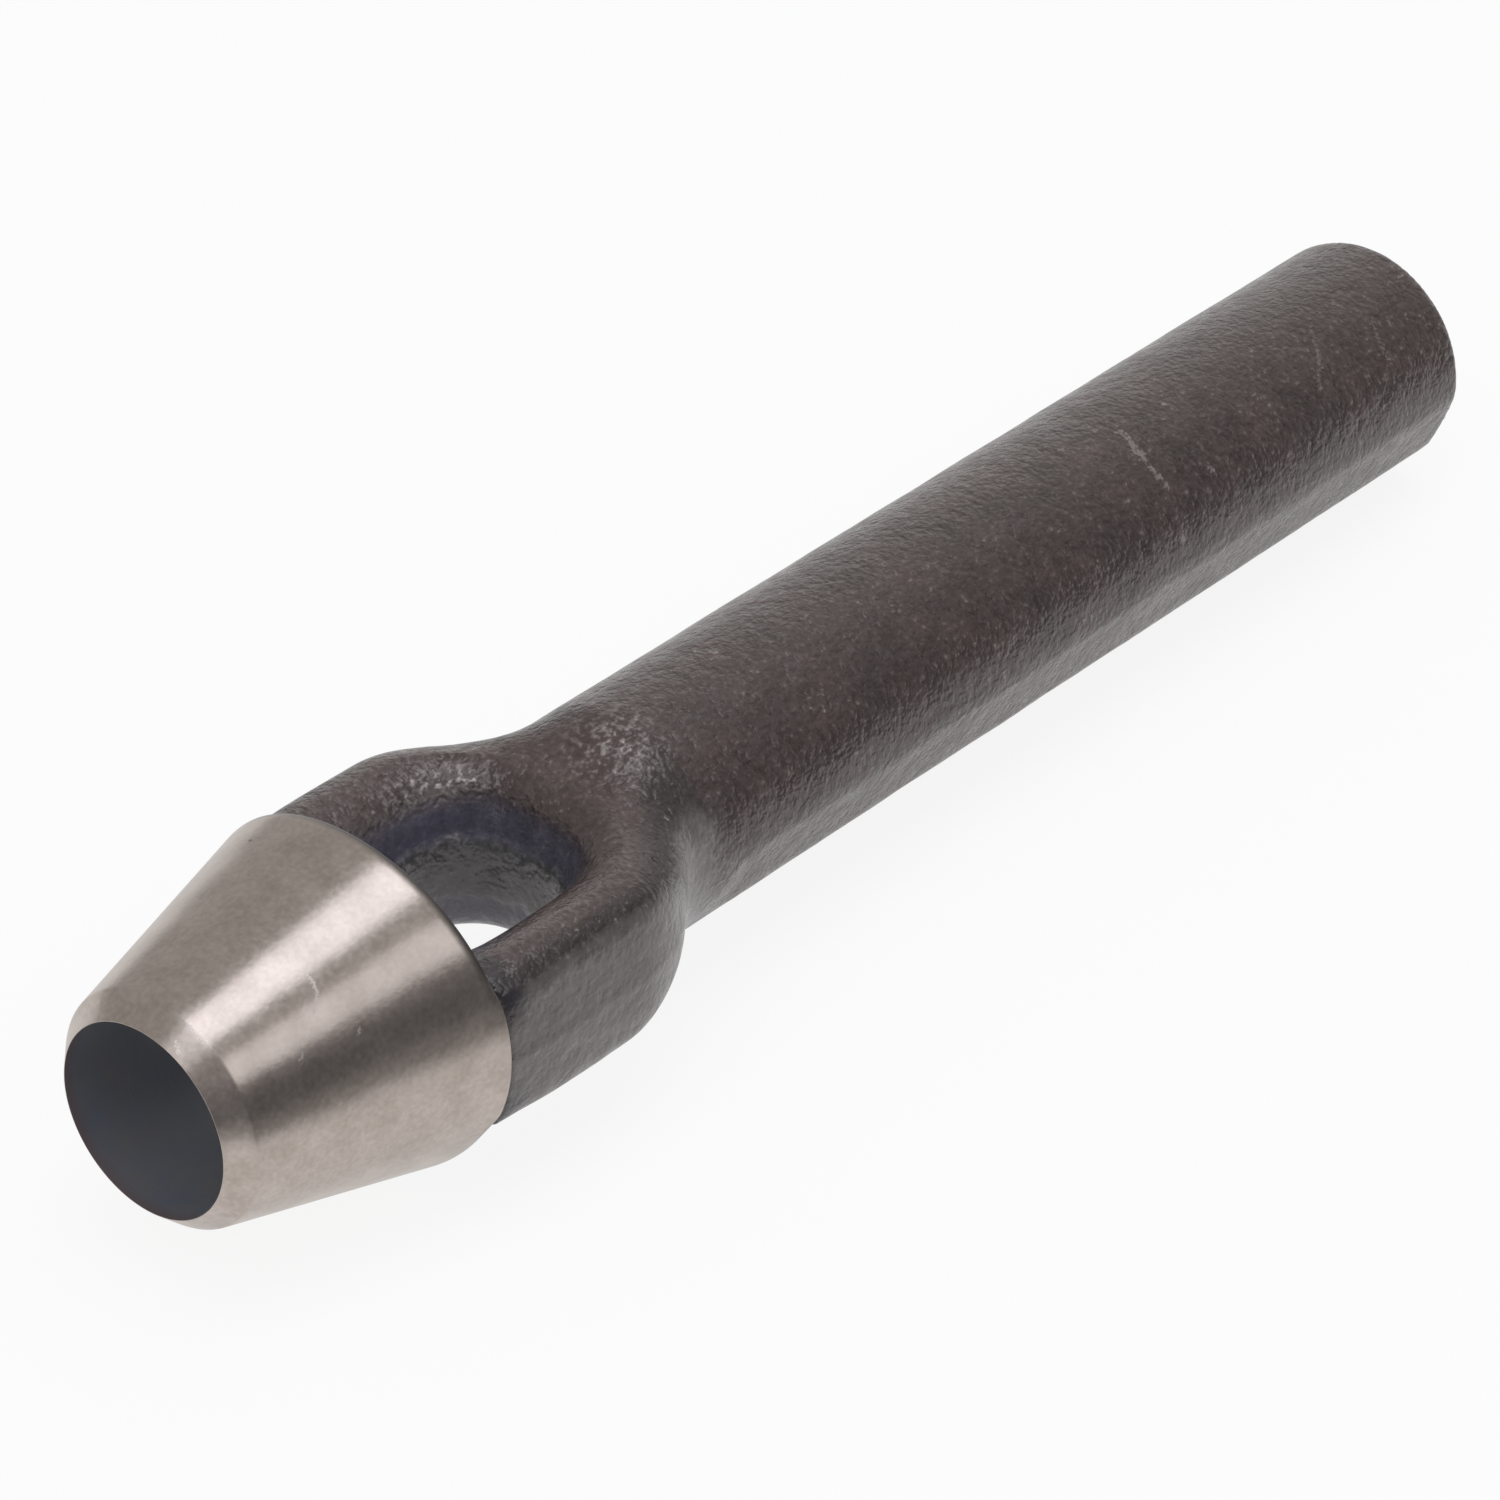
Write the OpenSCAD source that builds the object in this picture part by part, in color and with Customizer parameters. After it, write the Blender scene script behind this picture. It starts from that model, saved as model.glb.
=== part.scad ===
// Hollow punch: a one-piece steel forging for cutting round holes in leather, gasket and card.
// It lies along +X, with the cutting edge in the plane x = 0 and the centre of that edge at the origin.
// +Z is the way the cut-out discs leave through the window in the eye, and the dies part at z = 0.
// The forging is drawn as its three zones, which meet face to face where one way of making ends
// and the next begins: the turned and ground head, the forged eye, and the round shank.

/* [Cutting head] */
// Diameter of the hole that the punch cuts
cut_d = 12.5; // [8:0.5:15]
// Length of the head from the cutting edge to its rear, beside the arms
head_l = 17.9; // [15:0.1:24]
// Diameter of the ground cone at its rear
head_d = 23.5; // [22:0.1:25]
// How far the rear of the head is hollowed between the arms, seen from above
rear_hollow = 1; // [0.4:0.1:1.6]
// Thickness of the wall where the honed bevel meets the ground cone
lip_wall = 1.35; // [0.8:0.05:2]
// Length of the honed bevel along the axis
bevel_l = 1.45; // [0.8:0.05:2.4]
// Length of the straight part of the bore behind the cutting edge
bore_land_l = 6; // [3:0.5:9]
// Taper of the bore from its straight part to the window, on the radius
bore_relief = 0.25; // [0.1:0.05:0.4]

/* [Forged eye] */
// Width across the two arms where the dies part
eye_w = 23.8; // [23:0.1:26]
// Height of the arms over their crowns
eye_h = 11.6; // [11:0.2:13]
// How far the arms draw in where they meet the head
waist = 0.2; // [0.1:0.1:1]
// Length over which the arms swell from the waist to their full size
waist_l = 5; // [3:0.5:9]
// Length from the head to the start of the shoulder
eye_straight_l = 11.2; // [9:0.2:14]
// Radius of the rounded shoulder, seen from above
shoulder_r = 11.6; // [8:0.2:14]
// Radius of the fillet between the shoulder and the shank, seen from above
neck_r = 5; // [3:0.5:9]
// Squareness of the arms in cross-section: 2 is an ellipse, more is squarer
eye_square = 7; // [4:0.1:9]
// Draft of the side walls, as the share of the width lost from the parting to the crown
draft = 0.04; // [0:0.01:0.1]
// Slope, from the axis, of the shoulder that leads from the rim of the head to the corners of the arms
collar_angle = 16; // [14:1:45]
// Length from the head over which the crowns stay level, before they rise to the shank
crown_l = 16.2; // [14:0.2:18]
// Length over which the top still rises to the shank behind the neck fillet
rise_l = 1.5; // [0.5:0.1:4]

/* [Window] */
// Length of the window from the hollow of the head to its rear wall, in the sheared band
window_l = 15.9; // [14:0.1:17]
// Width of the window in the sheared band
window_w = 10.5; // [8:0.1:12]
// Squareness of the window seen from above: 2 is an ellipse, more is squarer
window_square = 3; // [2:0.1:4]
// Height of the band that is left where the thin web was sheared out
web_t = 4; // [2:0.2:6]
// How far the middle of this band lies below the parting of the dies
web_drop = 0.6; // [0:0.1:1]
// How far the upper mouth of the window opens beyond the band, across the punch
mouth_w = 5.4; // [3:0.2:5.6]
// How far the upper mouth of the window opens beyond the band, along the punch
mouth_l = 2.8; // [2:0.2:4]
// How far the lower mouth of the window opens beyond the band
foot_w = 1.7; // [0.8:0.1:3]

/* [Shank] */
// Diameter of the round shank
shank_d = 15.8; // [14:0.2:18]
// Length of the whole punch, from the cutting edge to the struck face
overall_l = 120; // [100:1:150]
// Chamfer round the struck face
struck_chamfer = 0.3; // [0.2:0.1:2]
// Depth of the flat that the drafted wall of the lower die leaves along each side
flat_depth = 0.3; // [0.1:0.05:0.5]
// Angle by which these flats face down from the side
flat_drop = 20; // [14:1:24]
// Distance from the eye to the start of the flats
flat_gap = 0.4; // [0.2:0.1:4]
// Length over which each flat reaches its full depth
flat_run_l = 2.5; // [1:0.5:8]

/* [Hidden] */

cut_r = cut_d / 2;
head_r = head_d / 2;
shank_r = shank_d / 2;
bore_rear_r = cut_r + bore_relief;
drill_angle = 118;
cone_slope = (head_r - cut_r - lip_wall) / (head_l - bevel_l);

// The hollow rear of the head is part of a large cylinder that stands along Z
rear_r = (pow(head_r, 2) + pow(rear_hollow, 2)) / (2 * rear_hollow);
rear_x = head_l - rear_hollow;

// Plan of the eye: a convex shoulder arc and a concave neck arc that touch each other
eye_half = eye_w / 2;
crown_half = eye_h / 2;
shoulder_x = head_l + eye_straight_l;
shoulder_y = eye_half - shoulder_r;
neck_y = shank_r + neck_r;
neck_x = shoulder_x + sqrt(pow(shoulder_r + neck_r, 2) - pow(neck_y - shoulder_y, 2));
touch_x = shoulder_x + (neck_x - shoulder_x) * shoulder_r / (shoulder_r + neck_r);
window_x = rear_x + window_l / 2;
eye_rear_x = neck_x + rise_l;

// The mouths above and below the sheared band open until they are level with the crowns
web_top = web_t / 2 - web_drop;
web_foot = web_t / 2 + web_drop;
bridge_x = head_l + crown_l;

ground_steel = [0.72, 0.70, 0.68];
forged_scale = [0.27, 0.25, 0.24];

// Sections along the eye, points round each section, and points and levels of the window
eye_steps = 28;
section_points = 72;
window_points = 56;
mouth_steps = 8;
rear_points = 720;
// How far a cutting shape reaches past what it cuts
over = 1;
$fn = 96;

function ease(t) = let (u = max(0, min(1, t))) u * u * (3 - 2 * u);
function mix(a, b, w) = a + (b - a) * w;
function rounded(v, square) = sign(v) * pow(abs(v), 2 / square);
function swell(x) = waist * (ease((x - head_l) / waist_l) - 1);

// Half-width where the dies part, half-height of the crown, and roundness, at distance x from the edge
function half_w(x) =
    x <= shoulder_x ? eye_half + swell(x)
    : x <= touch_x ? shoulder_y + sqrt(pow(shoulder_r, 2) - pow(x - shoulder_x, 2))
    : x < neck_x ? neck_y - sqrt(pow(neck_r, 2) - pow(x - neck_x, 2))
    : shank_r;
function half_h(x) = mix(crown_half + swell(x), shank_r, ease((x - bridge_x) / (eye_rear_x - bridge_x)));
function roundness(x) = ease((x - shoulder_x) / (eye_rear_x - shoulder_x));

// One cross-section of the eye: a drafted, squared ellipse that turns into the circle of the shank
function section(x) =
    [for (i = [0 : section_points - 1])
        let (a = 360 * i / section_points,
             v = rounded(sin(a), eye_square),
             u = rounded(cos(a), eye_square) * (1 - draft * abs(v)))
        [x, half_w(x) * mix(u, cos(a), roundness(x)), half_h(x) * mix(v, sin(a), roundness(x))]];

// Skin over a stack of closed rings that have equally many points, with both ends closed
module skin(rings) {
    n = len(rings[0]);
    last = len(rings) - 1;
    sides = [for (k = [0 : last - 1]) for (i = [0 : n - 1])
        let (j = (i + 1) % n)
        [k * n + i, (k + 1) * n + i, (k + 1) * n + j, k * n + j]];
    near_end = [for (i = [0 : n - 1]) i];
    far_end = [for (i = [n - 1 : -1 : 0]) last * n + i];
    polyhedron([for (ring = rings) for (p = ring) p], concat([near_end], sides, [far_end]), convexity = 6);
}

// Outline of the window, opened by the given amounts along and across the punch
function window_plan(along, across) =
    [for (i = [0 : window_points - 1])
        let (a = 360 * i / window_points)
        [window_x + (window_l / 2 + along) * rounded(cos(a), window_square),
         (window_w / 2 + across) * rounded(sin(a), window_square)]];
// The same outline at a share of the way from the band's edge to the crown, and a little past it
function window_ring(along, across, edge, share, past = 0) =
    [for (p = window_plan(along, across)) [p.x, p.y, mix(edge, half_h(p.x), share) + past]];
function turned_over(ring) = [for (p = ring) [p.x, p.y, -p.z]];

// The window: straight through the sheared band, with a wide mouth above and a steep one below
module window_cut() {
    lower = [for (k = [mouth_steps : -1 : 0])
        let (a = 90 * k / mouth_steps, open = foot_w * (1 - cos(a)))
        turned_over(window_ring(open, open, web_foot, sin(a)))];
    upper = [for (k = [0 : mouth_steps])
        let (a = 90 * k / mouth_steps, open = 1 - cos(a))
        window_ring(mouth_l * open, mouth_w * open, web_top, sin(a))];
    skin(concat(
        [turned_over(window_ring(foot_w, foot_w, web_foot, 1, over))],
        lower,
        upper,
        [window_ring(mouth_l, mouth_w, web_top, 1, over)]));
}

// The bore ends in the window, where the point of its drill has scalloped the roots of the arms
module drill_end() {
    point_l = bore_rear_r / tan(drill_angle / 2);
    straight_l = rear_hollow + over;
    translate([head_l - straight_l, 0, 0])
        rotate([0, 90, 0]) {
            cylinder(h = straight_l, r = bore_rear_r);
            translate([0, 0, straight_l])
                cylinder(h = point_l, r1 = bore_rear_r, r2 = 0);
        }
}

// Everything behind the hollow rear of the head
module behind_head() {
    translate([rear_x + rear_r, 0, 0])
        cylinder(h = head_d + 2 * over, r = rear_r, center = true, $fn = rear_points);
}

// Turned and ground cone with a honed bevel at its edge and the bore through it
module cutting_head() {
    outside = [[cut_r, 0], [cut_r + lip_wall, bevel_l], [head_r, head_l]];
    inside = [[bore_rear_r, head_l], [cut_r, bore_land_l]];
    color(ground_steel)
        difference() {
            rotate([0, 90, 0])
                rotate_extrude()
                    polygon(concat(outside, inside));
            behind_head();
        }
}

// Room inside the end of the ground cone and the shoulder from there to the corners of the arms
module turned_collar() {
    rest_l = eye_rear_x - head_l;
    translate([rear_x, 0, 0])
        rotate([0, 90, 0]) {
            cylinder(h = rear_hollow, r1 = head_r - rear_hollow * cone_slope, r2 = head_r);
            translate([0, 0, rear_hollow])
                cylinder(h = rest_l, r1 = head_r, r2 = head_r + rest_l * tan(collar_angle));
        }
}

// Forged loop that carries the head on two arms, pierced by the window
module eye() {
    color(forged_scale)
        difference() {
            intersection() {
                skin([for (k = [0 : eye_steps]) section(mix(rear_x, eye_rear_x, k / eye_steps))]);
                behind_head();
                turned_collar();
            }
            window_cut();
            drill_end();
        }
}

// What the drafted wall of the lower die keeps free along the -Y side of the shank
module flat_cut() {
    start_x = eye_rear_x + flat_gap;
    end_x = overall_l + over;
    wall_y = flat_depth - shank_r;
    rotate([flat_drop, 0, 0])
        linear_extrude(height = shank_d, center = true)
            polygon([
                [start_x - flat_run_l, -shank_r - flat_depth],
                [start_x + flat_run_l, wall_y],
                [end_x, wall_y],
                [end_x, -shank_r - flat_depth]]);
}

// Round grip that takes the blow on its chamfered end
module shank() {
    length = overall_l - eye_rear_x;
    color(forged_scale)
        difference() {
            translate([eye_rear_x, 0, 0])
                rotate([0, 90, 0]) {
                    cylinder(h = length - struck_chamfer, r = shank_r);
                    translate([0, 0, length - struck_chamfer])
                        cylinder(h = struck_chamfer, r1 = shank_r, r2 = shank_r - struck_chamfer);
                }
            flat_cut();
            mirror([0, 1, 0])
                flat_cut();
        }
}

cutting_head();
eye();
shank();
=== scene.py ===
import math

import bpy
import numpy as np
from mathutils import Matrix, Vector, noise


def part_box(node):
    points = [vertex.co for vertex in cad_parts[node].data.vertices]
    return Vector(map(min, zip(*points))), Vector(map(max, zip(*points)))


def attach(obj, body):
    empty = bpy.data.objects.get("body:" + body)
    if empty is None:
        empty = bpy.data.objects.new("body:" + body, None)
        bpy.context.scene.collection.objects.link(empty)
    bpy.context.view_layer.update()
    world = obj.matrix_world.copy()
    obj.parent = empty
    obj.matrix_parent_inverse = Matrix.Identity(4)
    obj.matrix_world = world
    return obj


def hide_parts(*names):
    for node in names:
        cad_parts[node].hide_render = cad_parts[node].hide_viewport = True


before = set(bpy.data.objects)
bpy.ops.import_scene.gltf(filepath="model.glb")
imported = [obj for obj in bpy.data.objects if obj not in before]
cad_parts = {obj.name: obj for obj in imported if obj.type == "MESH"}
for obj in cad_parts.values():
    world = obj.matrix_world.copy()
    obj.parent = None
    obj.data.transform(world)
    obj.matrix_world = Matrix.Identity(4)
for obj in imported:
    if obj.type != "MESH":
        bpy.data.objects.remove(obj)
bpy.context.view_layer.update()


# The forging: eye and shank, one piece of tool steel that was drop-forged between two dies.
# The web in the eye was sheared out hot, and the flash was trimmed off along the parting line.
# The black scale of the forge is left on; only the head in front of it is machined.
mm = 0.001
eye_low, eye_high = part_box("eye")
shank_low, shank_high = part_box("shank")

# Plan and height of the eye, in the part's frame: X along the punch, Z along the window
rear_x, rear_hollow = eye_low.x, 1 * mm
head_l = rear_x + rear_hollow
eye_rear = shank_low.x
tail = shank_high.x
eye_half = eye_high.y
shank_r = shank_high.z
shank_taper = 0.12 * mm
crown_half, crown_l = 5.8 * mm, 16.2 * mm
waist, waist_l = 0.2 * mm, 5 * mm
shoulder_x = head_l + 11.2 * mm
shoulder_r, neck_r = 11.6 * mm, 5 * mm
eye_square, draft = 7, 0.04

shoulder_y = eye_half - shoulder_r
neck_y = shank_r + neck_r
neck_x = shoulder_x + math.sqrt((shoulder_r + neck_r) ** 2 - (neck_y - shoulder_y) ** 2)
touch_x = shoulder_x + (neck_x - shoulder_x) * shoulder_r / (shoulder_r + neck_r)

# The window: a straight sheared band between a wide mouth above and a steep one below
window_l, window_w, window_square = 15.9 * mm, 10.5 * mm, 3
web_top, web_foot = 1.4 * mm, 2.6 * mm
mouth_l, mouth_w, foot_w = 2.8 * mm, 5.4 * mm, 1.7 * mm
window_x = rear_x + window_l / 2
bridge_x = head_l + crown_l

# The drilled bore of the head ends in the roots of the arms
bore_rear_r = 6.5 * mm
drill_half_angle = math.radians(59)

# In front the arms end at the hollow rear of the head, inside the end of its cone
head_r = 11.75 * mm
cone_slope = 0.2523
rear_r = (head_r**2 + rear_hollow**2) / (2 * rear_hollow)
collar_slope = math.tan(math.radians(16))

# The lower die's drafted wall leaves a flat along each side of the shank
flat_depth, flat_drop = 0.3 * mm, math.radians(20)
flat_start, flat_run_l = eye_rear + 0.4 * mm, 2.5 * mm
struck_chamfer = 0.3 * mm


def hollow(y):
    """How far the rear of the head lies in front of its rim at this distance from the middle."""
    return np.maximum(0, rear_hollow - rear_r + np.sqrt(np.maximum(0, rear_r**2 - y * y)))


def ease(t):
    t = np.clip(t, 0, 1)
    return t * t * (3 - 2 * t)


def rise(values, start, run):
    """From 0 where the values reach start to 1 where they are past it by run."""
    return ease((values - start) / run)


def fade(values, start, run):
    """From 1 where the values reach start to 0 where they are past it by run."""
    return 1 - rise(values, start, run)


def hump(values, middle, width):
    """1 at the middle, falling off to nothing on both sides."""
    return np.exp(-(((values - middle) / width) ** 2))


def rounded(v, square):
    return np.sign(v) * np.abs(v) ** (2 / square)


def half_width(x):
    if x <= shoulder_x:
        return eye_half - waist * fade(x, head_l, waist_l)
    if x <= touch_x:
        return shoulder_y + math.sqrt(shoulder_r**2 - (x - shoulder_x) ** 2)
    if x < neck_x:
        return neck_y - math.sqrt(neck_r**2 - (x - neck_x) ** 2)
    return shank_r


def half_height(x):
    crown = crown_half - waist * fade(x, head_l, waist_l)
    return crown + (shank_r - crown) * rise(x, bridge_x, eye_rear - bridge_x)


def forging_ring(x, points=180):
    """Cross-section of the forging at x, with the flats of the lower die pressed into the shank."""
    a = np.arange(points) * 2 * math.pi / points
    v = rounded(np.sin(a), eye_square)
    u = rounded(np.cos(a), eye_square) * (1 - draft * np.abs(v))
    w = rise(x, shoulder_x, eye_rear - shoulder_x)
    chamfer = max(0, x - (tail - struck_chamfer))
    taper = shank_taper * (2 * x - eye_rear - tail) / (tail - eye_rear) * w
    y = (half_width(x) + taper - chamfer) * (u + (np.cos(a) - u) * w)
    z = (half_height(x) + taper - chamfer) * (v + (np.sin(a) - v) * w)
    wall = shank_r + taper - flat_depth * np.clip((x - flat_start) / flat_run_l, 0, 1)
    if x > flat_start:
        for side in (-1, 1):
            out_y, out_z = side * math.cos(flat_drop), -math.sin(flat_drop)
            proud = np.maximum(0, y * out_y + z * out_z - wall)
            y, z = y - proud * out_y, z - proud * out_z
    room = head_r + (x - head_l) * (cone_slope if x < head_l else collar_slope)
    inside = np.minimum(1, room / np.hypot(y, z))
    return np.column_stack([np.full(points, x), y * inside, z * inside])


def window_ring(along, across, edge, share, past=0.0, points=120):
    """Outline of the window at a share of the way from the sheared band's edge to the crown."""
    a = np.arange(points) * 2 * math.pi / points
    x = window_x + (window_l / 2 + along) * rounded(np.cos(a), window_square)
    y = (window_w / 2 + across) * rounded(np.sin(a), window_square)
    crown = np.array([half_height(v) for v in x])
    return np.column_stack([x, y, edge + (crown - edge) * share + past])


def mouth(along, across, edge, past=1 * mm, steps=16):
    """Rings of a bell mouth from the sheared band's edge to the crown, and a little past it."""
    rings = []
    for a in np.radians(np.linspace(0, 90, steps)):
        open_share = 1 - math.cos(a)
        rings.append(window_ring(along * open_share, across * open_share, edge, math.sin(a)))
    return rings + [window_ring(along, across, edge, 1, past)]


def skin(name, rings):
    """Closed mesh over a stack of rings that have equally many points."""
    n, last = len(rings[0]), len(rings) - 1
    faces = [
        (k * n + i, k * n + (i + 1) % n, (k + 1) * n + (i + 1) % n, (k + 1) * n + i)
        for k in range(last)
        for i in range(n)
    ]
    faces.append(tuple(range(n - 1, -1, -1)))
    faces.append(tuple(last * n + i for i in range(n)))
    mesh = bpy.data.meshes.new(name)
    mesh.from_pydata(np.concatenate(rings).tolist(), [], faces)
    obj = bpy.data.objects.new(name, mesh)
    bpy.context.scene.collection.objects.link(obj)
    return obj


eye_rings, flat_rings, shank_rings = 96, 8, 40
stations = np.concatenate([
    np.linspace(rear_x, eye_rear, eye_rings),
    np.linspace(flat_start, flat_start + flat_run_l, flat_rings),
    np.linspace(flat_start + 2 * flat_run_l, tail - struck_chamfer, shank_rings),
    [tail],
])
forging = skin("forged_body", [forging_ring(x) for x in stations])

upper, lower = mouth(mouth_l, mouth_w, web_top), mouth(foot_w, foot_w, web_foot)
window = skin("window_punch", [ring * [1, 1, -1] for ring in reversed(lower)] + upper)

drill_points, drill_lead, drill_blunt = 96, 2 * mm, 0.01
drill_turn = np.arange(drill_points) * 2 * math.pi / drill_points
drill_tip = bore_rear_r / math.tan(drill_half_angle)
drill_steps = [
    (-drill_lead, bore_rear_r),
    (0, bore_rear_r),
    (drill_tip * (1 - drill_blunt), bore_rear_r * drill_blunt),
]
drill = skin("drill_point", [
    np.column_stack([np.full(drill_points, head_l + x), r * np.cos(drill_turn), r * np.sin(drill_turn)])
    for x, r in drill_steps
])

room_turn, room_points, room_front, room_half = 14, 97, -5 * mm, 15 * mm
front_turn = np.radians(np.linspace(-room_turn, room_turn, room_points))
front_arc = np.column_stack([rear_x + rear_r * (1 - np.cos(front_turn)), rear_r * np.sin(front_turn)])
front_plan = np.vstack([front_arc, [[room_front, front_arc[-1, 1]], [room_front, front_arc[0, 1]]]])
front = skin("head_room", [
    np.column_stack([front_plan, np.full(len(front_plan), z)]) for z in (-room_half, room_half)
])

skin_step, edge_soft, soft_rounds = 0.28 * mm, 0.5, 3
for tool in (window, drill, front):
    cut = forging.modifiers.new(tool.name, "BOOLEAN")
    cut.operation, cut.solver, cut.object = "DIFFERENCE", "EXACT", tool
even = forging.modifiers.new("even_skin", "REMESH")
even.mode, even.voxel_size = "VOXEL", skin_step
soft = forging.modifiers.new("rounded_edges", "SMOOTH")
soft.factor, soft.iterations = edge_soft, soft_rounds

bpy.context.view_layer.update()
shaped = forging.evaluated_get(bpy.context.evaluated_depsgraph_get())
forged_mesh = bpy.data.meshes.new_from_object(shaped)
forging.modifiers.clear()
forging.data = forged_mesh
for tool in (window, drill, front):
    bpy.data.objects.remove(tool)


def vertices(mesh, what="co"):
    flat = np.zeros(len(mesh.vertices) * 3)
    if what == "co":
        mesh.vertices.foreach_get("co", flat)
    else:
        mesh.vertex_normals.foreach_get("vector", flat)
    return flat.reshape(-1, 3)


def roughness_field(points, size, seed):
    """Smooth noise between -1 and 1 whose bumps are about as wide as size."""
    scaled_points = points / size + seed
    return np.array([noise.noise(Vector(p)) for p in scaled_points])


def set_mask(mesh, name, values):
    mask = mesh.attributes.new(name, "FLOAT", "POINT")
    mask.data.foreach_set("value", np.clip(values, 0, 1).astype(np.float32))


# Hand of the forge: a slightly uneven skin, the parting ridge, and the torn lips of the sheared web.
# A pair of values is where something starts, or has its middle, and the run over which it changes.
uneven, uneven_size, uneven_seed = 0.05 * mm, 5 * mm, 3.1
grain, grain_size, grain_seed = 0.012 * mm, 0.9 * mm, 11.7
ridge_h, ridge_w, ridge_lift, ridge_wander = 0.05 * mm, 0.28 * mm, 0.25 * mm, 0.1 * mm
ridge_facing, ridge_out, ridge_breaks = (0.6, 0.3), shank_r * 0.9, 0.6
tear_depth, tear_ragged, tear_size, tear_seed = 0.3 * mm, 0.45 * mm, 0.8 * mm, 5.3
tear_top, tear_foot, tear_run, tear_line = 1.3 * mm, -2.5 * mm, 0.35 * mm, 0.3 * mm
tear_high, tear_low = (2.2 * mm, 2.4 * mm), (3 * mm, 2 * mm)
tear_upright, foot_share = 0.15, 0.5
window_facing, window_reach = (0.15, 0.3), 2.1
face_clear, face_kept = 0.3 * mm, 0.4 * mm

co, normal = vertices(forged_mesh), vertices(forged_mesh, "normal")
x, y, z = co.T
across = np.abs(normal[:, 1])
outward = normal[:, 1] * np.sign(y)
waves = roughness_field(co, uneven_size, uneven_seed)
ripple = roughness_field(co, grain_size, grain_seed)
shift = uneven * waves + grain * ripple

on_side = rise(across, *ridge_facing) * (np.abs(y) > ridge_out)
parting = ridge_lift * rise(x, shoulder_x, eye_rear - shoulder_x) + ridge_wander * waves
ridge = on_side * hump(z, parting, ridge_w) * ease(ridge_breaks + waves)
shift += ridge_h * ridge

front_x = head_l - hollow(y)
reach = (np.abs((x - window_x) / (window_l / 2)) ** window_square
         + np.abs(y / (window_w / 2)) ** window_square) ** (1 / window_square)
inward = -((x - window_x) * normal[:, 0] + y * normal[:, 1]) / np.hypot(x - window_x, y)
in_window = rise(inward, *window_facing) * (reach < window_reach) * (x > front_x + face_clear)
ragged = tear_ragged * roughness_field(co * [1, 1, tear_upright], tear_size, tear_seed)
past_top, past_foot = z - tear_top - ragged, tear_foot - ragged - z
above = ease(past_top / tear_run) * fade(z, *tear_high)
below = ease(past_foot / tear_run) * fade(-z, *tear_low)
shift -= tear_depth * in_window * (above + foot_share * below)
sheared = in_window * (1 - ease(past_top / tear_line)) * (1 - ease(past_foot / tear_line))

# Sides scraped smoother by the trimming die and drafted walls; their paler grey is a painted floor
# reflection
wall_facing, wall_end = (0.72, 0.2), (eye_rear - 2 * mm, 2 * mm)
flat_facing, flat_reflection_share = (0.985, 0.012), 0.15
corner_facing, corner_end = (0.12, 0.4), (neck_x, 2 * mm)
collar_end = (head_l + 0.9 * mm, 1.3 * mm)
collar_off_seam, collar_off_axis = (1.2 * mm, 2.2 * mm), (7 * mm, 1.5 * mm)
scraped_sides_reflection = rise(across, *wall_facing) * fade(x, *wall_end)
# The shank's flats join in faintly, painted paler too as a reflection of the floor
for side in (-1, 1):
    facing = side * normal[:, 1] * math.cos(flat_drop) - normal[:, 2] * math.sin(flat_drop)
    scraped_sides_reflection = np.maximum(scraped_sides_reflection, flat_reflection_share * rise(facing, *flat_facing) * (x > flat_start))
# The crown's outer shoulders, facing the dim front: painted shade, dark as their reflection of it
shoulder_shade = rise(outward, *corner_facing) * fade(outward, *wall_facing) * fade(x, *corner_end) * (z > 0)
# A dark collar behind the head, where the arms meet its rim: painted shade
collar_shade = fade(x, *collar_end) * rise(np.abs(z), *collar_off_seam) * rise(np.abs(y), *collar_off_axis)

# Painted light: crowns browner where the lamp above lights them, eye-to-shank fillets paler from the floor
crown_facing, crown_end = (0.75, 0.2), (neck_x, 4 * mm)
fillet_facing, fillet_top = (0.35, 0.2), (2.5 * mm, 2.5 * mm)
fillet_start, fillet_end = (touch_x - 3 * mm, 3 * mm), (eye_rear - 1.5 * mm, 3 * mm)
crown = rise(normal[:, 2], *crown_facing) * fade(x, *crown_end)
fillet = (rise(outward, *fillet_facing) * rise(x, *fillet_start) * fade(x, *fillet_end)
          * fade(z, *fillet_top))

# Handling polish and painted glints: the neck, the far rim of the mouth, the torn lip, the flats' edges
neck_spot_x, neck_spot_y, neck_spot_z = (39 * mm, 2.4 * mm), (-1.2 * mm, 2.2 * mm), 5 * mm
mouth_glint, mouth_line, mouth_side = 0.95, (4.75 * mm, 0.45 * mm), (2.5 * mm, 2 * mm)
mouth_start, mouth_end = (24 * mm, 7 * mm), (33 * mm, 1.6 * mm)
lip_glint, lip_line_w, lip_breaks, lip_ripple = 0.8, 0.16 * mm, 0.4, 2
edge_glint, edge_line_w, edge_breaks = 0.35, 0.22 * mm, 0.7
polished_and_glints = hump(x, *neck_spot_x) * hump(y, *neck_spot_y) * (z > neck_spot_z)
polished_and_glints += mouth_glint * (hump(z, *mouth_line) * rise(y, *mouth_side)
                           * rise(x, *mouth_start) * fade(x, *mouth_end))
polished_and_glints += lip_glint * in_window * hump(past_top, 0, lip_line_w) * ease(lip_breaks + lip_ripple * ripple)
flat_edge = flat_drop - math.acos(1 - flat_depth / shank_r)
turned_to = np.arctan2(-z, np.abs(y))
# A painted glint line along the upper edge of each flat, in both the polished and the rubbed masks
edge_line = (hump(turned_to, flat_edge, edge_line_w / shank_r) * (x > flat_start + flat_run_l / 2)
             * ease(edge_breaks + waves))
polished_and_glints += edge_glint * edge_line

keep_face = rise(x, front_x, face_kept)
co += normal * (shift * keep_face)[:, None]
forged_mesh.vertices.foreach_set("co", co.ravel())
forged_mesh.update()

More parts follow.
